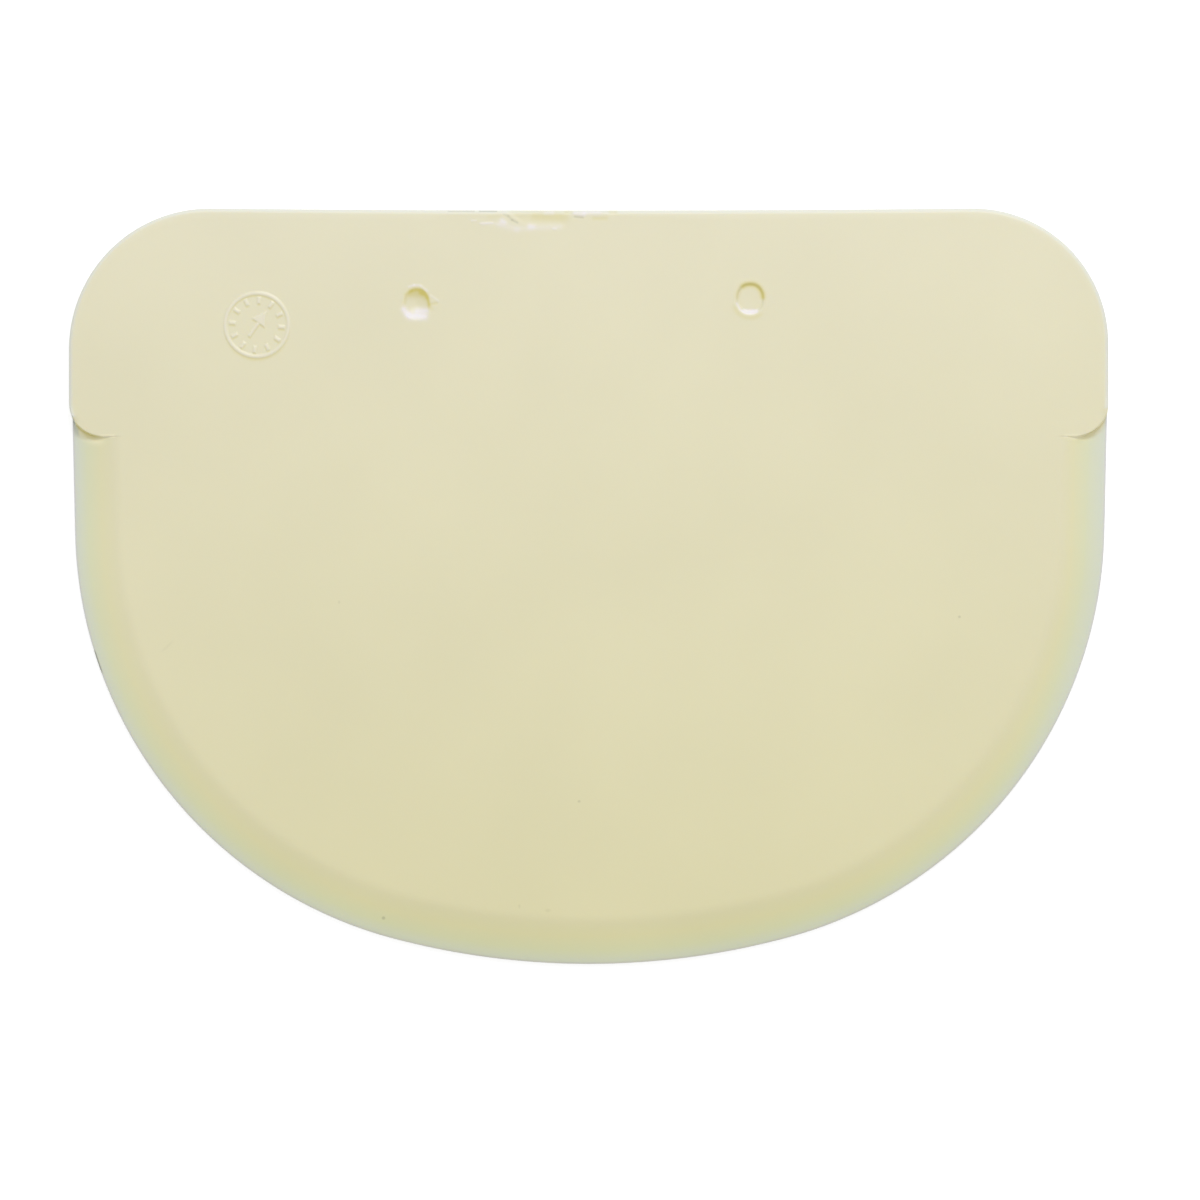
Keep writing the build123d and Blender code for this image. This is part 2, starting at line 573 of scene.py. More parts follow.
def sided(points, left, right):
    """The left value for points on the left half of the plate, and the right one elsewhere."""
    return np.where(points[:, 0] < 0, left, right)


def segment_distance(points, start, end):
    start, end = np.array(start), np.array(end)
    run = end - start
    share = np.clip((points - start) @ run / (run @ run), 0, 1)
    gaps = points - start - share[:, None] * run
    return np.hypot(gaps[:, 0], gaps[:, 1])


def egg(offset, mouth, width_share, squareness, flare=0.0):
    """Each point's depth inside an upright egg. A squareness of 2 is an oval."""
    share = np.abs(offset / mouth)
    width = width_share * (1 - flare * np.clip(offset[:, 1] / mouth, -1, 1))
    reach = (share[:, 0] / width) ** squareness + share[:, 1] ** squareness
    return mouth * (1 - reach ** (1 / squareness))


def towards(offset, degrees):
    """How far each point lies in a direction, which leans to the right from upwards."""
    lean = math.radians(degrees)
    return offset @ [math.sin(lean), math.cos(lean)]


def strokes(points, drawn):
    """The height, shade and whitening of a set of strokes."""
    total = np.zeros((3, len(points)))
    for start, end, width, *amounts in drawn.values():
        total += np.outer(amounts, bump(segment_distance(points, start, end), width))
    return total


def clean_pin_mark(points):
    """The right-hand mark's height, painted shade and painted highlight."""
    offset = points - clean_mark
    inside = egg(offset, clean_mark_mouth, clean_mark_width_share, clean_mark_squareness)
    dark = towards(offset, dark_lean) / clean_mark_mouth
    pale = -towards(offset, pale_lean) / clean_mark_mouth
    wider = (clean_mark_lower_wall - clean_mark_wall) * ease(pale, *clean_mark_lower_shares)
    share = inside / (clean_mark_wall + wider)
    lip = clean_mark_lip * bump(inside + clean_mark_lip_out, clean_mark_lip_width)
    upper = ease(offset[:, 1] / clean_mark_mouth, *clean_arc_upper_shares)
    darkness = np.maximum(ease(dark, *clean_arc_dark_shares), clean_arc_least)
    arc = bump(share - clean_arc_share, clean_arc_width_share) * upper * darkness
    below = bump(inside + clean_below_out, clean_below_width) * ease(pale, *clean_below_shares)
    olive = clean_arc_olive * arc + clean_below_olive * below
    crescent = ease(inside, 0, clean_crescent_rim) * ease(-offset[:, 1], *clean_crescent_drop)
    crescent *= ease(offset[:, 0], *clean_crescent_right)
    horn = bump(segment_distance(offset, *clean_horn), clean_horn_width)
    white = np.maximum(clean_crescent_white * crescent, clean_horn_white * horn)
    return lip - clean_mark_depth * ease(share), olive, white


def deep_pin_mark(points):
    """The left-hand mark's height, painted shade and painted highlight."""
    offset = points - deep_mark
    form = (deep_mark_mouth, deep_mark_width_share, deep_mark_squareness, deep_mark_flare)
    inside = egg(offset, *form)
    depth = np.clip(inside / deep_mark_mouth, 0, 1)
    dish = -deep_mark_depth * depth * (2 - depth)
    dark = towards(offset, dark_lean) / deep_mark_mouth
    arc = bump(inside - deep_arc_in, deep_arc_width) * ease(dark, *deep_arc_dark_shares)
    height, shade, white = strokes(offset, deep_mark_strokes)
    return height + dish, np.minimum(shade + deep_arc_olive * arc, 1), white


def drop_points(points):
    """Each point as x and its drop below the middle of the dipping straight edge."""
    edge_y = straight_edge_y - straight_edge_dip
    return np.stack([points[:, 0], edge_y - points[:, 1]], axis=1)


def torn_gate(points):
    """The break's height, painted shade and whitening: a shallow scoop over the straight edge, with
    strokes round it of damage, painted shade and painted highlight."""
    spot = drop_points(points)
    x, drop = spot.T
    lean = gate_left_lean * np.maximum(drop - gate_lean_drop, 0)
    foot = gate_reach + gate_foot_rise * (x - gate_left_x) - drop
    scoop = ease(x - lean, gate_left_x, gate_left_x + gate_left_run) * ease(foot, 0, gate_foot_run)
    scoop *= ease(x, gate_right_x, gate_right_x - gate_right_run)
    return strokes(spot, gate_strokes) + np.outer([-gate_depth, gate_olive, 0], scoop)


def above_junction(points):
    """How far each point lies above the place where the slab meets the blade's side."""
    return points[:, 1] - sided(points, left_junction[1], right_junction[1])


def wall_shade(points):
    """The shade along the foot of the slab's short walls. On the left it is grey at the
    junction and olive from there on, and on the right it is a fainter olive."""
    deep = np.maximum(blade_inset(points), 0)
    out = np.maximum(-slab.inset(points), 0)
    line = bump(out - foot_line_out, foot_line_width) * ease(slab.inset(points), foot_line_top, 0)
    left = left_foot_olive - left_foot_grey * ease(deep, *left_foot_grey_fade)
    left -= left_foot_loss * ease(deep, *left_foot_loss_fade)
    right = right_foot_olive + right_foot_gain * ease(deep, *right_foot_gain_fade)
    fringe = bump(out - fringe_out, foot_line_width) * ease(deep, *fringe_fade)
    fringe *= sided(points, left_fringe_olive, right_fringe_olive)
    foot = (sided(points, left, right) * line + fringe) * ease(deep, *foot_line_fade)
    corner = bump(above_junction(points) + corner_below, corner_length)
    corner *= bump(deep - corner_in, corner_width) * sided(points, left_corner_grey, right_corner_grey)
    near_slab = (above_junction(points) < junction_margin) * (blade_inset(points) > 0)
    return near_slab * (foot - corner)


def lip_shadow_shade(points):
    """Painted shadow: a dark line on the lip of the left shoulder."""
    up = points[:, 1]
    along = ease(up, lip_shadow_low_y, lip_shadow_low_y + lip_shadow_fade)
    along *= ease(up, lip_shadow_high_y, lip_shadow_high_y - lip_shadow_fade)
    across = bump(blade_inset(points) - lip_shadow_in, lip_shadow_width)
    return sided(points, -lip_shadow_grey, 0) * along * across


def wall_glow(points):
    """Light that enters the slab comes out at the foot of its walls and lifts the shadow,
    nearer the wall on the right."""
    deep = blade_inset(points)
    out = np.maximum(-slab.inset(points), 0)
    right_width = right_glow_width + right_glow_gain * ease(deep, *right_glow_gain_fade)
    width = sided(points, left_glow_width, right_width)
    below = bump(out - sided(points, left_glow_out, right_glow_out), width)
    left, right, shallow = [
        ease(deep, *first) * ease(deep, *second)
        for first, second in (left_glow_fades, right_glow_fades, shallow_glow_fades)
    ]
    light = glow_most * below * sided(points, left, right) * (slab.inset(points) < 0) * (deep > 0)
    shallow_end = bump(slab.inset(points) - shallow_glow_in, shallow_glow_width) * shallow
    return light + shallow_glow_most * shallow_end * (above_junction(points) < 0)


def slab_rim(points):
    """1 on the slab's own outer edge, 0 on the wall that it makes over the bevel."""
    return ease(above_junction(points), 0, wall_edge_fade)


def edge_highlight(points):
    """Painted highlight on the slab's own rounded edge."""
    beside = ease(above_junction(points), -edge_highlight_below, 0)
    return edge_highlight_most * beside * ease(slab.inset(points), *edge_highlight_fade)


def marks(points):
    """The height of the moulding marks above the plain face, with their painted shade, olive up
    to 1 and grey down to -1, and their whitening, painted highlight and bruising, from 0 to 1."""
    found = [mark(points) for mark in (clean_pin_mark, deep_pin_mark, torn_gate)]
    height, shade, white = np.sum(found, axis=0)
    shade += wall_shade(points) + lip_shadow_shade(points)
    return height, np.clip(shade, -1, 1), np.clip(white, 0, 1)


def scar_distance(points):
    """How far a point lies from the stretch of the straight edge with the torn gate."""
    x, drop = drop_points(points).T
    beside = np.maximum(np.maximum(scar_left_x - x, x - scar_right_x), 0)
    return np.hypot(beside, np.maximum(drop - scar_drop, 0))


def wall_distance(points):
    """How far a point lies from the short walls where the slab stands above the bevel."""
    out = np.abs(points[:, 0])
    off_wall = np.maximum(np.abs(slab.inset(points)) - slab_edge_radius, 0)
    above = np.maximum(above_junction(points) - slab_edge_radius, 0)
    return np.hypot(np.maximum(off_wall, above), np.maximum(wall_end_x - out, 0))


def net_size(points):
    """How far apart the points of the net lie, closest at the marks and widest on the face."""
    reaches = [(wall_gap, wall_distance(points)), (scar_gap, scar_distance(points))]
    for junction in (left_junction, right_junction):
        reaches.append((junction_gap, distance(points, junction) - junction_reach))
    for middle, reach in round_marks:
        reaches.append((mark_gap, distance(points, middle) - reach))
    past_slab_edge = slab.inset(points) - slab_edge_radius
    past_bevel = blade_inset(points) - bevel_width - bevel_blend_reach
    past_edges = np.maximum(np.maximum(past_slab_edge, past_bevel), 0)
    edge_size = np.minimum(edge_gap + net_growth * past_edges, open_gap)
    sizes = [gap + net_growth * np.maximum(reach, 0) for gap, reach in reaches]
    return np.minimum.reduce([*sizes, edge_size])


def march(outline, start, stop, widest=edge_gap):
    """Places along an outline, as far apart as the net there asks for."""
    places = [start]
    while places[-1] < stop:
        size = float(net_size(outline.at(places[-1]))[0])
        places.append(places[-1] + min(size, widest))
    places = np.array(places)
    return start + (places - start) * (stop - start) / (places[-1] - start)


def rounded(radius, steps):
    """Insets that divide a rounded edge into even turns, after the edge itself."""
    return radius * (1 - np.cos(np.linspace(0, math.pi / 2, steps + 1)))[1:]


def rows(outline, along, insets):
    """Points in rows along an outline, one row for each inset."""
    return np.vstack([outline.at(along, inset) for inset in insets])


def rings(centre, reach, gap):
    """Points in rings round a centre."""
    found = [np.array([centre], float)]
    for radius in np.arange(gap, reach, gap):
        count = max(6, round(2 * math.pi * radius / gap))
        turns = np.arange(count) * 2 * math.pi / count
        found.append(centre + radius * np.stack([np.cos(turns), np.sin(turns)], axis=1))
    return np.vstack(found)


def staggered(gap, low, high):
    """Points in staggered rows over a box."""
    across = np.arange(low[0], high[0], gap)
    up = np.arange(low[1], high[1], gap * math.sqrt(3) / 2)
    x, y = np.meshgrid(across, up)
    x[1::2] += gap / 2
    return np.stack([x.ravel(), y.ravel()], axis=1)


def clear_of(kept, new, clearance=None):
    """The new points on the plate that keep their clearance from the kept ones. Without a
    clearance given, it follows the net's size."""
    new = new[plate_inset(new) > edge_margin]
    if clearance is None:
        clearance = net_clearance_share * net_size(new)
    tree = KDTree(len(kept))
    for index, point in enumerate(kept):
        tree.insert((point[0], point[1], 0), index)
    tree.balance()
    gaps = np.array([tree.find((point[0], point[1], 0))[2] for point in new])
    return new[gaps > clearance] if len(new) else new


def add_clear(kept, new, clearance=None):
    """Adds the new points that are clear of the kept ones."""
    return np.vstack([kept, clear_of(kept, new, clearance)])


def add_rows(points, edge_count, outline, along, insets):
    """Adds the rows of an outline that lie on the plate's own edge, clear of earlier rows."""
    found = rows(outline, along, insets)
    if len(points) > edge_count:
        found = clear_of(points[edge_count:], found, row_clearance)
    return np.vstack([points, found[plate_inset(found) > insets[0] * row_share]])


def fill(kept):
    """Spreads points over the open face, closer where the net is finer."""
    gap = finest_open_gap
    low = (-plate_width / 2, crown_y)
    high = (plate_width / 2, straight_edge_y)
    while gap < 2 * open_gap:
        spread = staggered(gap, low, high)
        sizes = net_size(spread)
        kept = add_clear(kept, spread[(sizes >= gap) & (sizes < 2 * gap)])
        gap *= 2
    return kept


def front_net(edge, blade_along, slab_along):
    """The points of the bevelled face: the edge, rows along it, then the marks and the face."""
    blend_start = bevel_width - bevel_blend_reach
    blend_stop = bevel_width + bevel_blend_reach
    bevel_rows = np.linspace(lip_edge_radius, blend_start, bevel_steps + 1)[1:]
    blend_rows = np.linspace(blend_start, blend_stop, blend_steps + 1)[1:]
    blade_rows = np.concatenate([rounded(lip_edge_radius, lip_steps), bevel_rows, blend_rows])
    wall_edge_rows = rounded(slab_edge_radius * wall_edge_share, wall_edge_steps)
    wall_rows = np.concatenate([wall_foot_rows, wall_edge_rows, wall_top_rows])
    wall_stop = slab_step_radius * math.pi / 2 + plate_width / 2 - slab_step_radius - wall_end_x
    left_wall = (left_meeting + wall_clearance, wall_stop)
    right_wall = (slab_step_length - wall_stop, slab_step_length - right_meeting - wall_clearance)
    points = edge
    for start, stop in (left_wall, right_wall):
        wall_along = march(slab, start, stop, wall_gap)
        points = add_clear(points, rows(slab, wall_along, wall_rows), wall_clearance)
    slab_rows = rounded(slab_edge_radius, slab_edge_steps)
    points = add_rows(points, len(edge), slab, slab_along, slab_rows)
    points = add_rows(points, len(edge), blade, blade_along, blade_rows)
    for middle in (left_junction, right_junction):
        patch = staggered(junction_gap, middle - junction_reach, middle + junction_reach)
        patch = patch[distance(patch, middle) < junction_reach]
        points = add_clear(points, patch, patch_clearance_share * junction_gap)
    scar_rows = np.arange(slab_edge_radius + scar_gap, scar_rows_stop, scar_gap)
    scar = rows(slab, slab_along, scar_rows)
    scar = scar[scar_distance(scar) < scar_margin]
    points = add_clear(points, scar, patch_clearance_share * scar_gap)
    for middle, reach in round_marks:
        patch = rings(middle, reach, mark_gap)
        points = add_clear(points, patch, patch_clearance_share * mark_gap)
    return fill(points)


def back_net(edge, blade_along, slab_along):
    """The points of the plain back."""
    insets = rounded(back_edge_radius, back_edge_steps)
    points = add_rows(edge, len(edge), slab, slab_along, insets)
    points = add_rows(points, len(edge), blade, blade_along, insets)
    low = (-plate_width / 2, crown_y)
    high = (plate_width / 2, straight_edge_y)
    near_edge = staggered(edge_gap * 2, low, high)
    near_edge = near_edge[plate_inset(near_edge) < back_band]
    points = add_clear(points, near_edge, edge_gap)
    return add_clear(points, staggered(open_gap, low, high), open_gap * patch_clearance_share)


def joined(points, edge_count):
    """Triangles over the points inside their closed edge, which is the first of them."""
    edges = [(index, (index + 1) % edge_count) for index in range(edge_count)]
    found = delaunay_2d_cdt([Vector(point) for point in points], edges, [], 1, joining_margin)
    origin = [sources[0] for sources in found[3]]
    return [tuple(origin[corner] for corner in face) for face in found[2]]


def plan_mesh():
    """The flat plan of the moulding: the face's net, the back's net under it, and a wall
    between their edges. It is closed, and only the heights are missing."""
    blade_along = march(blade, blade_start, blade_stop)
    slab_along = march(slab, slab_step_length - right_meeting, slab.length + left_meeting)
    edge = np.vstack([blade.at(blade_along[:-1]), slab.at(slab_along[:-1])])
    front = front_net(edge, blade_along, slab_along)
    back = back_net(edge, blade_along, slab_along)
    count = len(edge)
    faces = joined(front, count)
    for face in joined(back, count):
        faces.append(tuple(len(front) + corner for corner in face[::-1]))
    for here in range(count):
        after = (here + 1) % count
        faces.append((here, len(front) + here, len(front) + after, after))
    points = np.vstack([front, back])
    mesh = bpy.data.meshes.new("scraper_plan")
    flat = np.hstack([points * MM, np.zeros((len(points), 1))])
    mesh.from_pydata(flat.tolist(), [], faces)
    on_back = np.arange(len(points)) >= len(front)
    height, shade, white = marks(points)
    for name, values in (
        ("slab_inset", slab.inset(points) * MM),
        ("blade_inset", blade_inset(points) * MM),
        ("edge_share", wall_edge_share + (1 - wall_edge_share) * slab_rim(points)),
        ("relief", height * MM),
        ("shade", shade * ~on_back),
        ("highlight_and_whitening", white * ~on_back),
        ("edge_highlight", edge_highlight(points)),
        ("glow", wall_glow(points) * ~on_back),
        ("on_back", on_back),
    ):
        layer = mesh.attributes.new(name, "FLOAT", "POINT")
        layer.data.foreach_set("value", np.asarray(values, np.float32))
    return mesh


def add_node(tree, kind, inputs=(), **settings):
    """Adds a node, sets it up and fills its inputs, each with a value or from another node.
    A node given as an input stands for its first output."""
    node = tree.nodes.new(kind)
    for name, value in settings.items():
        setattr(node, name, value)
    for key, value in dict(inputs).items():
        if isinstance(value, bpy.types.Node):
            value = value.outputs[0]
        if isinstance(value, bpy.types.NodeSocket):
            tree.links.new(value, node.inputs[key])
        else:
            node.inputs[key].default_value = value
    return node


MATH = "ShaderNodeMath"
VECTOR_MATH = "ShaderNodeVectorMath"
MAP_RANGE = "ShaderNodeMapRange"
MIX = "ShaderNodeMix"
NOISE = "ShaderNodeTexNoise"
GROUP = "GeometryNodeGroup"
READ = "GeometryNodeInputNamedAttribute"
STORE = "GeometryNodeStoreNamedAttribute"
NUMBER = "NodeSocketFloat"
GEOMETRY = "NodeSocketGeometry"


def new_tree(name, inputs, outputs):
    """A Geometry Nodes tree with inputs and outputs, given as the kind of each name."""
    tree = bpy.data.node_groups.new(name, "GeometryNodeTree")
    for label, kind in inputs.items():
        tree.interface.new_socket(label, in_out="INPUT", socket_type=kind)
    for label, kind in outputs.items():
        tree.interface.new_socket(label, in_out="OUTPUT", socket_type=kind)
    return tree, add_node(tree, "NodeGroupInput").outputs


def edge_drop_tree():
    """How far the surface drops at an edge: round down to the radius, and a steep wall past
    the edge."""
    numbers = dict.fromkeys(("Inset", "Radius", "Steepness"), NUMBER)
    tree, given = new_tree("edge_drop", numbers, {"Drop": NUMBER})
    radius = given["Radius"]
    inside = add_node(tree, MATH, {0: given["Inset"], 1: 0.0}, operation="MAXIMUM")
    within = add_node(tree, MATH, {0: inside, 1: radius}, operation="MINIMUM")
    left = add_node(tree, MATH, {0: radius, 1: within}, operation="SUBTRACT")
    left_squared = add_node(tree, MATH, {0: left, 1: left}, operation="MULTIPLY")
    radius_squared = add_node(tree, MATH, {0: radius, 1: radius}, operation="MULTIPLY")
    rest = add_node(tree, MATH, {0: radius_squared, 1: left_squared}, operation="SUBTRACT")
    rise = add_node(tree, MATH, {0: rest}, operation="SQRT")
    round_drop = add_node(tree, MATH, {0: radius, 1: rise}, operation="SUBTRACT")
    outside = add_node(tree, MATH, {0: given["Inset"], 1: 0.0}, operation="MINIMUM")
    wall_drop = add_node(tree, MATH, {0: outside, 1: given["Steepness"]}, operation="MULTIPLY")
    drop = add_node(tree, MATH, {0: round_drop, 1: wall_drop}, operation="SUBTRACT")
    add_node(tree, "NodeGroupOutput", {0: drop})
    return tree


plate_sizes = {
    "Thickness": face_height * MM,
    "Lip thickness": lip_thickness * MM,
    "Bevel width": bevel_width * MM,
    "Bevel blend": bevel_blend * MM,
    "Slab edge radius": slab_edge_radius * MM,
    "Lip edge radius": lip_edge_radius * MM,
    "Back edge radius": back_edge_radius * MM,
    "Wall steepness": wall_steepness,
    "Wall foot": wall_foot * MM,
}
dial_sizes = {
    "Dial x": dial_middle[0] * MM,
    "Dial y": dial_middle[1] * MM,
    "Ring radius": dial_radius * MM,
    "Line width": dial_line_width * MM,
    "Line softness": dial_line_soft * MM,
    "Line height": dial_line_height * MM,
    "Ticks": float(dial_ticks),
    "Tick middle": dial_tick_middle * MM,
    "Tick length": dial_tick_length * MM,
    "Arrow turn": math.radians(dial_arrow_turn),
    "Arrow tail": dial_arrow_tail * MM,
    "Arrow neck": dial_arrow_neck * MM,
    "Arrow tip": dial_arrow_tip * MM,
    "Arrow flare": dial_arrow_flare,
}
dial_shading = {
    "Flank reach": dial_flank_reach * MM,
    "Flank shade": dial_flank_shade,
    "Crest highlight": dial_crest_highlight,
}
plan_values = ("slab_inset", "blade_inset", "edge_share", "relief", "on_back")


def dial_tree():
    """The dial's raised lines at each place: a ring, even ticks inside it and an arrow."""
    tree, given = new_tree("raised_dial", dict.fromkeys(dial_sizes, NUMBER), {"Height": NUMBER})
    middle = add_node(tree, "ShaderNodeCombineXYZ", {"X": given["Dial x"], "Y": given["Dial y"]})
    place = add_node(tree, "GeometryNodeInputPosition")
    spot = add_node(tree, VECTOR_MATH, {0: place, 1: middle}, operation="SUBTRACT")
    aim = {"Vector": spot, "Angle": given["Arrow turn"]}
    turned = add_node(tree, "ShaderNodeVectorRotate", aim, rotation_type="Z_AXIS")
    axes = add_node(tree, "ShaderNodeSeparateXYZ", {0: turned}).outputs
    x, y = axes["X"], axes["Y"]
    x_squared = add_node(tree, MATH, {0: x, 1: x}, operation="MULTIPLY")
    reach_squared = add_node(tree, MATH, {0: y, 1: y, 2: x_squared}, operation="MULTIPLY_ADD")
    reach = add_node(tree, MATH, {0: reach_squared}, operation="SQRT")
    half_line = add_node(tree, MATH, {0: given["Line width"], 1: 0.5}, operation="MULTIPLY")

    # Ring
    off_ring = add_node(tree, MATH, {0: reach, 1: given["Ring radius"]}, operation="SUBTRACT")
    ring = add_node(tree, MATH, {0: off_ring}, operation="ABSOLUTE")

    # Ticks: the angle is folded onto the nearest tick
    angle = add_node(tree, MATH, {0: y, 1: x}, operation="ARCTAN2")
    pitch = add_node(tree, MATH, {0: math.tau, 1: given["Ticks"]}, operation="DIVIDE")
    pitches = add_node(tree, MATH, {0: angle, 1: pitch}, operation="DIVIDE")
    nearest = add_node(tree, MATH, {0: pitches}, operation="ROUND")
    off_tick = add_node(tree, MATH, {0: pitches, 1: nearest}, operation="SUBTRACT")
    off_angle = add_node(tree, MATH, {0: off_tick, 1: pitch}, operation="MULTIPLY")
    sideways = add_node(tree, MATH, {0: off_angle, 1: reach}, operation="MULTIPLY")
    across = add_node(tree, MATH, {0: sideways}, operation="ABSOLUTE")
    off_middle = add_node(tree, MATH, {0: reach, 1: given["Tick middle"]}, operation="SUBTRACT")
    along = add_node(tree, MATH, {0: off_middle}, operation="ABSOLUTE")
    half_tick = add_node(tree, MATH, {0: given["Tick length"], 1: 0.5}, operation="MULTIPLY")
    past_end = add_node(tree, MATH, {0: along, 1: half_tick}, operation="SUBTRACT")
    past_line = add_node(tree, MATH, {0: past_end, 1: half_line}, operation="ADD")
    tick = add_node(tree, MATH, {0: across, 1: past_line}, operation="MAXIMUM")

    # Arrow: a shaft and a flared head
    off_shaft = add_node(tree, MATH, {0: x}, operation="ABSOLUTE")
    past_neck = add_node(tree, MATH, {0: y, 1: given["Arrow neck"]}, operation="SUBTRACT")
    before_tail = add_node(tree, MATH, {0: given["Arrow tail"], 1: y}, operation="SUBTRACT")
    off_ends = add_node(tree, MATH, {0: past_neck, 1: before_tail}, operation="MAXIMUM")
    off_ends_line = add_node(tree, MATH, {0: off_ends, 1: half_line}, operation="ADD")
    shaft = add_node(tree, MATH, {0: off_shaft, 1: off_ends_line}, operation="MAXIMUM")
    to_tip = add_node(tree, MATH, {0: given["Arrow tip"], 1: y}, operation="SUBTRACT")
    half_head = add_node(tree, MATH, {0: to_tip, 1: given["Arrow flare"]}, operation="MULTIPLY")
    off_head = add_node(tree, MATH, {0: off_shaft, 1: half_head}, operation="SUBTRACT")
    before_neck = add_node(tree, MATH, {0: given["Arrow neck"], 1: y}, operation="SUBTRACT")
    head_edge = add_node(tree, MATH, {0: off_head, 1: before_neck}, operation="MAXIMUM")
    head = add_node(tree, MATH, {0: head_edge, 1: half_line}, operation="ADD")
    arrow = add_node(tree, MATH, {0: shaft, 1: head}, operation="MINIMUM")

    # The lines' section, with soft flanks
    ring_or_tick = add_node(tree, MATH, {0: ring, 1: tick}, operation="MINIMUM")
    line = add_node(tree, MATH, {0: ring_or_tick, 1: arrow}, operation="MINIMUM")
    outer = add_node(tree, MATH, {0: half_line, 1: given["Line softness"]}, operation="ADD")
    inner = add_node(tree, MATH, {0: half_line, 1: given["Line softness"]}, operation="SUBTRACT")
    flanks = {"Value": line, "From Min": outer, "From Max": inner, "To Max": given["Line height"]}
    height = add_node(tree, MAP_RANGE, flanks, interpolation_type="SMOOTHSTEP")
    add_node(tree, "NodeGroupOutput", {0: height})
    return tree


def moulding_tree():
    """Raises the flat plan to the moulding. The rim's section follows the blade's edge, the
    slab stands at full thickness, and the marks and the dial lie on the face."""
    numbers = dict.fromkeys([*plate_sizes, *dial_sizes, *dial_shading], NUMBER)
    inputs = {"Plan": GEOMETRY, **numbers, "Plastic": "NodeSocketMaterial"}
    tree, given = new_tree("raise_moulding", inputs, {"Moulding": GEOMETRY})
    thickness, lip = given["Thickness"], given["Lip thickness"]
    slab_in, blade_in, edge_share, relief, on_back = [
        add_node(tree, READ, {"Name": name}, data_type="FLOAT") for name in plan_values
    ]

    # How far the slab's edge, the lip and the back's edge drop
    inset = add_node(tree, MATH, {0: slab_in, 1: blade_in}, operation="MAXIMUM")
    slab_radius = add_node(tree, MATH, {0: edge_share, 1: given["Slab edge radius"]}, operation="MULTIPLY")
    edge_drop = edge_drop_tree()
    slab_drop, lip_drop, back_drop = [
        add_node(
            tree,
            GROUP,
            {"Inset": depth, "Radius": radius, "Steepness": given["Wall steepness"]},
            node_tree=edge_drop,
        )
        for depth, radius in (
            (slab_in, slab_radius),
            (blade_in, given["Lip edge radius"]),
            (inset, given["Back edge radius"]),
        )
    ]

    # Slab and bevelled blade, whichever is the higher
    slab_top = add_node(tree, MATH, {0: thickness, 1: slab_drop}, operation="SUBTRACT")
    bevel_rise = add_node(tree, MATH, {0: thickness, 1: lip}, operation="SUBTRACT")
    slope = add_node(tree, MATH, {0: bevel_rise, 1: given["Bevel width"]}, operation="DIVIDE")
    bevel = add_node(tree, MATH, {0: blade_in, 1: slope, 2: lip}, operation="MULTIPLY_ADD")
    blending = {0: bevel, 1: thickness, 2: given["Bevel blend"]}
    blended = add_node(tree, MATH, blending, operation="SMOOTH_MIN")
    blade_top = add_node(tree, MATH, {0: blended, 1: lip_drop}, operation="SUBTRACT")
    meeting = {0: slab_top, 1: blade_top, 2: given["Wall foot"]}
    both = add_node(tree, MATH, meeting, operation="SMOOTH_MAX")
    plain = add_node(tree, MATH, {0: both, 1: thickness}, operation="MINIMUM")

    # The dial, and the flanks of its lines that face away from the light
    lines = dial_tree()
    dial_inputs = {name: given[name] for name in dial_sizes}
    dial = add_node(tree, GROUP, dial_inputs, node_tree=lines)
    below = add_node(tree, MATH, {0: given["Dial y"], 1: given["Flank reach"]}, operation="SUBTRACT")
    cast = add_node(tree, GROUP, {**dial_inputs, "Dial y": below}, node_tree=lines)
    past = add_node(tree, MATH, {0: cast, 1: dial}, operation="SUBTRACT")
    flank = add_node(tree, MATH, {0: past, 1: 0.0}, operation="MAXIMUM")

    # Heights of the face and the back
    marked = add_node(tree, MATH, {0: plain, 1: relief}, operation="ADD")
    face = add_node(tree, MATH, {0: marked, 1: dial}, operation="ADD")
    height = add_node(tree, MIX, {"Factor": on_back, "A": face, "B": back_drop}, data_type="FLOAT")
    lift = add_node(tree, "ShaderNodeCombineXYZ", {"Z": height})

    # Values that the plastic reads: the wall's thickness, and the dial's painted shade and painted
    # highlight
    wall = add_node(tree, MATH, {0: plain, 1: back_drop}, operation="SUBTRACT")
    kept = [("wall", wall)]
    for name, amount, strength in (
        ("shade", flank, given["Flank shade"]),
        ("highlight_and_whitening", dial, given["Crest highlight"]),
    ):
        before = add_node(tree, READ, {"Name": name}, data_type="FLOAT")
        share = add_node(tree, MATH, {0: amount, 1: given["Line height"]}, operation="DIVIDE")
        total = add_node(tree, MATH, {0: share, 1: strength, 2: before}, operation="MULTIPLY_ADD")
        kept.append((name, total))
    shape = given["Plan"]
    for name, value in kept:
        entry = {"Geometry": shape, "Name": name, "Value": value}
        shape = add_node(tree, STORE, entry, data_type="FLOAT", domain="POINT")

    shape = add_node(tree, "GeometryNodeSetPosition", {"Geometry": shape, "Offset": lift})
    for name in plan_values:
        shape = add_node(tree, "GeometryNodeRemoveAttribute", {"Geometry": shape, "Name": name})
    soft = add_node(tree, "GeometryNodeSetShadeSmooth", {"Geometry": shape})
    real = add_node(tree, "GeometryNodeRealizeInstances", {"Geometry": soft})
    finish = {"Geometry": real, "Material": given["Plastic"]}
    dressed = add_node(tree, "GeometryNodeSetMaterial", finish)
    add_node(tree, "NodeGroupOutput", {0: dressed})
    return tree


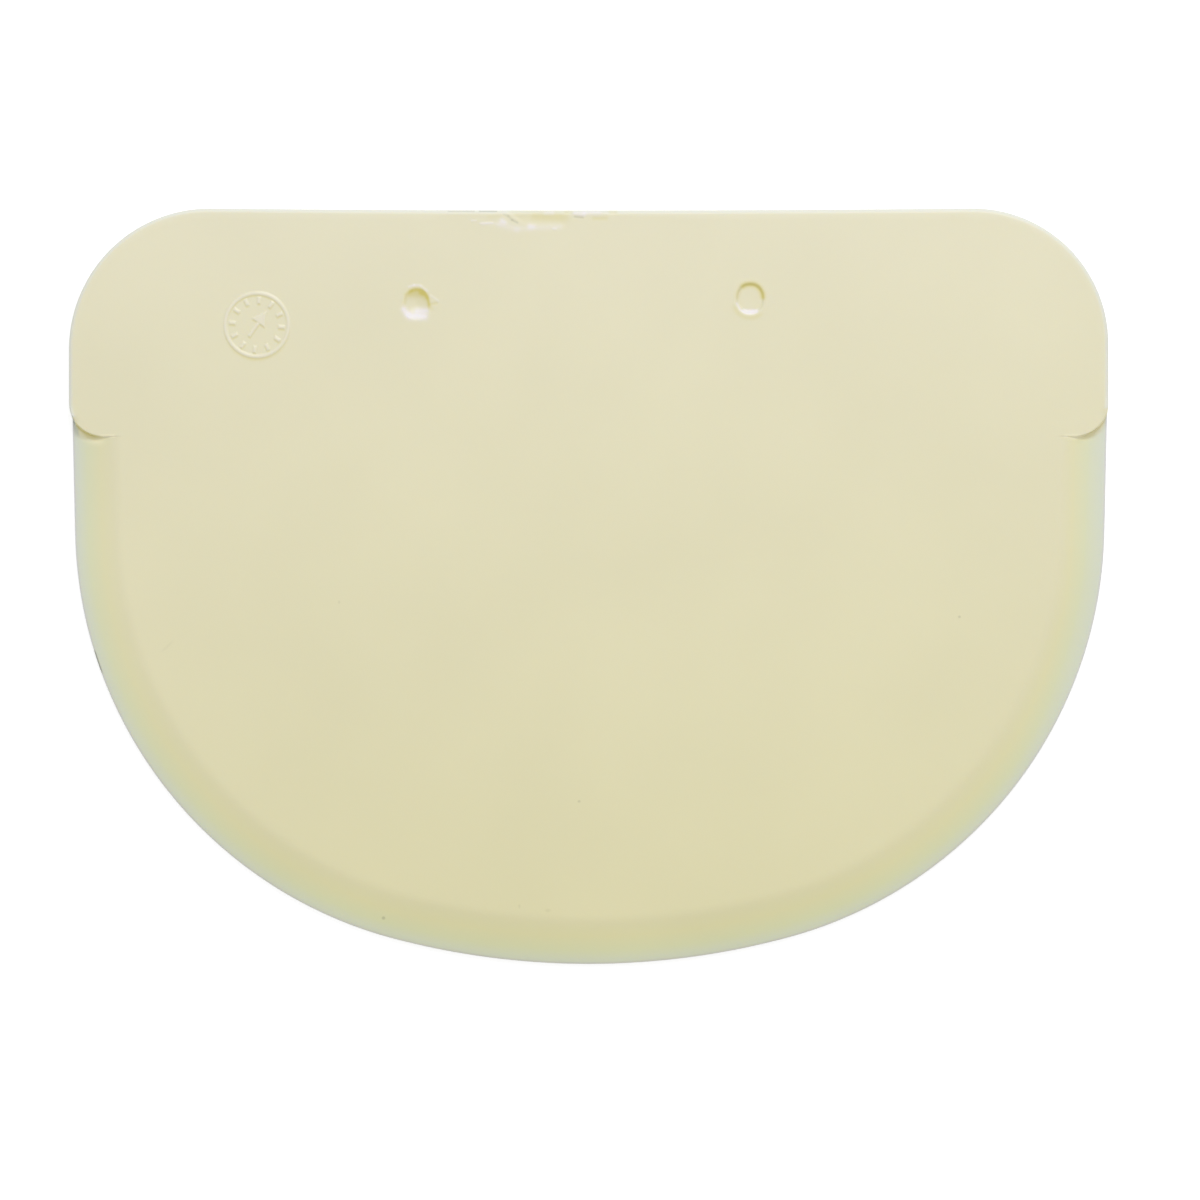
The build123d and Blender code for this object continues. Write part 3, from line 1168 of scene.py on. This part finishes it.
def moulded_scraper(plastic):
    """The whole moulding as one closed mesh."""
    piece = bpy.data.objects.new("moulded_scraper", plan_mesh())
    bpy.context.scene.collection.objects.link(piece)
    modifier = piece.modifiers.new("raise", "NODES")
    modifier.node_group = moulding_tree()
    values = {**plate_sizes, **dial_sizes, **dial_shading, "Plastic": plastic}
    for socket in modifier.node_group.interface.items_tree:
        if socket.in_out == "INPUT" and socket.name in values:
            modifier[socket.identifier] = values[socket.name]
    depsgraph = bpy.context.evaluated_depsgraph_get()
    mesh = bpy.data.meshes.new_from_object(
        piece.evaluated_get(depsgraph), preserve_all_data_layers=True, depsgraph=depsgraph
    )
    piece.modifiers.remove(modifier)
    piece.data = mesh
    mesh.name = "moulded_scraper"
    return piece


def linear(hex_colour):
    """An sRGB hex colour as the linear colour that a socket takes."""
    colour = []
    for place in (1, 3, 5):
        part = int(hex_colour[place : place + 2], 16) / 255
        colour.append(part / 12.92 if part <= 0.04045 else ((part + 0.055) / 1.055) ** 2.4)
    return colour + [1.0]


def new_material(name):
    material = bpy.data.materials.new(name)
    material.use_nodes = True
    material.node_tree.nodes.clear()
    return material, material.node_tree


def wall_thickness(tree, wall, across):
    """The wall's thickness for the tint, taken a little thinner in the middle of the bevel on the right.
    """
    start, stop = thin_side_x
    reach = {"Value": across, "From Min": start * MM, "From Max": stop * MM, "To Max": thin_side_loss * MM}
    right_side = add_node(tree, MAP_RANGE, reach)
    from_middle = add_node(tree, MATH, {0: wall, 1: thin_side_wall * MM}, operation="SUBTRACT")
    off_middle = add_node(tree, MATH, {0: from_middle}, operation="ABSOLUTE")
    start, stop = thin_side_fade
    near = {"Value": off_middle, "From Min": start * MM, "From Max": stop * MM}
    on_bevel = add_node(tree, MAP_RANGE, near)
    thinner = add_node(tree, MATH, {0: right_side, 1: on_bevel}, operation="MULTIPLY")
    return add_node(tree, MATH, {0: wall, 1: thinner}, operation="SUBTRACT")


def wall_colour(tree, thickness):
    """A grey-green lip, a greener bevel, then cream towards full thickness."""
    colour = linear(wall_tints[0][1])
    for (thin, _), (thick, tint) in zip(wall_tints, wall_tints[1:]):
        step = {"Value": thickness, "From Min": thin * MM, "From Max": thick * MM}
        share = add_node(tree, MAP_RANGE, step)
        tints = {"Factor": share, "A": colour, "B": linear(tint)}
        colour = add_node(tree, MIX, tints, data_type="RGBA").outputs["Result"]
    return colour


def noise_between(tree, place, size, detail, low, high):
    """A soft noise of a size in millimetres, spread between a low and a high value."""
    noise = add_node(tree, NOISE, {"Vector": place, "Scale": 1 / (size * MM), "Detail": detail})
    start, stop = noise_range
    spread = {"Value": noise, "From Min": start, "From Max": stop, "To Min": low, "To Max": high}
    return add_node(tree, MAP_RANGE, spread).outputs["Result"]


def pigment_and_crown_shade(tree, colour, place, along):
    """Painted shade: the colour is warmer and a little darker far from the gate, where the soft box's
    light and sheen fall off, and the pigment is slightly uneven all over.
    """
    climb = {"Value": along, "From Min": crown_y * MM, "From Max": straight_edge_y * MM}
    from_crown = add_node(tree, MAP_RANGE, climb)
    tints = {"Factor": from_crown, "A": linear(crown_painted_shade), "B": linear(gate_painted_shade)}
    crown_shade = add_node(tree, MIX, tints, data_type="RGBA").outputs["Result"]
    crown_shaded = add_node(tree, VECTOR_MATH, {0: colour, 1: crown_shade}, operation="MULTIPLY")
    clouded = noise_between(tree, place, cloud_size, 2.0, *cloud_range)
    return add_node(tree, VECTOR_MATH, {0: crown_shaded, "Scale": clouded}, operation="SCALE").outputs[0]


def specked(tree, colour, place):
    """Dark specks of burnt pigment."""
    for x, y, half_length, half_width, turn, strength in specks:
        frame_of_speck = {
            "Vector": place,
            "Location": (x * MM, y * MM, 0),
            "Rotation": (0, 0, math.radians(turn)),
            "Scale": (half_length * MM, half_width * MM, 1),
        }
        off = add_node(tree, "ShaderNodeMapping", frame_of_speck, vector_type="TEXTURE")
        flat = add_node(tree, VECTOR_MATH, {0: off, 1: (1, 1, 0)}, operation="MULTIPLY")
        reach = add_node(tree, VECTOR_MATH, {0: flat}, operation="LENGTH").outputs["Value"]
        depth = {"Value": reach, "From Min": 1.0, "From Max": speck_core_share, "To Max": strength}
        speck = add_node(tree, MAP_RANGE, depth, interpolation_type="SMOOTHSTEP")
        tints = {"Factor": speck, "A": colour, "B": linear(speck_tint)}
        colour = add_node(tree, MIX, tints, data_type="RGBA").outputs["Result"]
    return colour


def moulded_polypropylene():
    """Injection-moulded polypropylene with cream pigment, from a plainly polished mould. It
    has a satin face and goes greener and greyer where it is thin enough for light to pass. Shade is
    painted olive and grey into small recesses and creases, and highlight is painted white on walls
    and crests that face the light, beside the whitening where it is bruised."""
    material, tree = new_material("injection_moulded_polypropylene")
    place = add_node(tree, "ShaderNodeTexCoord").outputs["Object"]
    wall, shade, bruise_and_highlight, edge, glow = [
        add_node(tree, "ShaderNodeAttribute", attribute_name=name).outputs["Fac"]
        for name in ("wall", "shade", "highlight_and_whitening", "edge_highlight", "glow")
    ]
    spot = add_node(tree, "ShaderNodeSeparateXYZ", {0: place}).outputs
    colour = wall_colour(tree, wall_thickness(tree, wall, spot["X"]))
    colour = specked(tree, pigment_and_crown_shade(tree, colour, place, spot["Y"]), place)

    # Painted highlight on the slab's edge, painted light under its walls, painted shade in recesses and
    # creases, and painted highlight and bruising where the plastic is whitened
    grey_shade = add_node(tree, MATH, {0: shade, 1: -1.0}, operation="MULTIPLY")
    for share, tint in (
        (edge, edge_highlight_tint),
        (glow, glow_tint),
        (shade, olive_tint),
        (grey_shade, grey_tint),
        (bruise_and_highlight, bruise_and_highlight_tint),
    ):
        tints = {"Factor": share, "A": colour, "B": linear(tint)}
        colour = add_node(tree, MIX, tints, data_type="RGBA").outputs["Result"]

    # Moulded skin: fine, shallow unevenness, and gloss that varies over a few millimetres
    skin = add_node(tree, NOISE, {"Vector": place, "Scale": 1 / (skin_grain * MM), "Detail": 3.0})
    relief = {"Height": skin, "Strength": skin_strength, "Distance": skin_depth * MM}
    skin_bump = add_node(tree, "ShaderNodeBump", relief)
    rough = noise_between(tree, place, gloss_patch, 2.0, *roughness_range)
    torn = add_node(tree, MATH, {0: bruise_and_highlight, 1: bruise_and_highlight_roughness, 2: rough}, operation="MULTIPLY_ADD")
    dull = add_node(tree, MATH, {0: edge, 1: edge_roughness, 2: torn}, operation="MULTIPLY_ADD")
    shader = add_node(
        tree,
        "ShaderNodeBsdfPrincipled",
        {
            "Base Color": colour,
            "Roughness": dull,
            "IOR": refraction,
            "Subsurface Weight": scatter_weight,
            "Subsurface Radius": scatter_tint,
            "Subsurface Scale": scatter_reach * MM,
            "Normal": skin_bump,
        },
    )
    add_node(tree, "ShaderNodeOutputMaterial", {"Surface": shader})
    return material


def seen(tree):
    """1 for what the camera, a reflection or clear plastic shows, and 0 for what lights."""
    rays = add_node(tree, "ShaderNodeLightPath").outputs
    direct = {0: rays["Is Camera Ray"], 1: rays["Is Glossy Ray"]}
    shown = add_node(tree, MATH, direct, operation="MAXIMUM")
    return add_node(tree, MATH, {0: shown, 1: rays["Is Transmission Ray"]}, operation="MAXIMUM")


def white_sweep():
    """Matt white studio paper. Where it is seen it is lit up to plain white, and it keeps a
    soft shadow of the object."""
    material, tree = new_material("matt_white_paper")
    shown = seen(tree)
    tints = {"Factor": shown, "A": linear(paper_tint), "B": linear(seen_paper_tint)}
    colour = add_node(tree, MIX, tints, data_type="RGBA").outputs["Result"]
    lift = add_node(tree, MATH, {0: shown, 1: seen_paper_lift}, operation="MULTIPLY")
    paper = add_node(tree, "ShaderNodeBsdfDiffuse", {"Color": colour})
    glow = add_node(tree, "ShaderNodeEmission", {"Strength": lift})
    both = add_node(tree, "ShaderNodeAddShader", {0: paper, 1: glow})
    add_node(tree, "ShaderNodeOutputMaterial", {"Surface": both})
    return material


def white_floor():
    """A wide sheet of the paper, just under the object."""
    mesh = bpy.data.meshes.new("floor")
    corners = [(-1, -1), (1, -1), (1, 1), (-1, 1)]
    spread = [(x * floor_half, y * floor_half, -floor_gap) for x, y in corners]
    mesh.from_pydata(spread, [], [(0, 1, 2, 3)])
    mesh.materials.append(white_sweep())
    floor = bpy.data.objects.new("floor", mesh)
    bpy.context.scene.collection.objects.link(floor)


def even_sky():
    """A white sky that lights the object evenly and is plain white where it is seen."""
    world = bpy.data.worlds.new("studio")
    world.use_nodes = True
    tree = world.node_tree
    tree.nodes.clear()
    strength = add_node(tree, MIX, {"Factor": seen(tree), "A": sky_level, "B": 1.0}, data_type="FLOAT")
    sky = add_node(tree, "ShaderNodeBackground", {"Color": linear("#ffffff"), "Strength": strength})
    add_node(tree, "ShaderNodeOutputWorld", {"Surface": sky})
    bpy.context.scene.world = world


def soft_lamp():
    """One soft box beyond the straight edge, turned to the object."""
    lamp = bpy.data.lights.new("soft_box", "AREA")
    lamp.shape = "RECTANGLE"
    lamp.size, lamp.size_y = soft_box_size
    lamp.energy = soft_box_watts
    soft_box = bpy.data.objects.new("soft_box", lamp)
    soft_box.location = soft_box_place
    soft_box.rotation_euler = (-Vector(soft_box_place)).to_track_quat("-Z", "Y").to_euler()
    bpy.context.scene.collection.objects.link(soft_box)


def camera():
    """Straight above the face, as far off as the photograph was taken."""
    lens = bpy.data.cameras.new("camera")
    lens.sensor_width = sensor_width
    lens.lens = sensor_width * view_distance / view_width
    lens.clip_start = clip_near
    lens.clip_end = clip_far
    eye = bpy.data.objects.new("camera", lens)
    eye.location = (*view_middle, view_distance + view_height)
    bpy.context.scene.collection.objects.link(eye)
    bpy.context.scene.camera = eye


bpy.context.scene.view_settings.view_transform = "Standard"
plastic = moulded_polypropylene()
scraper = moulded_scraper(plastic)
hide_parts("scraper_plate")
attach(scraper, "root")
white_floor()
even_sky()
soft_lamp()
camera()
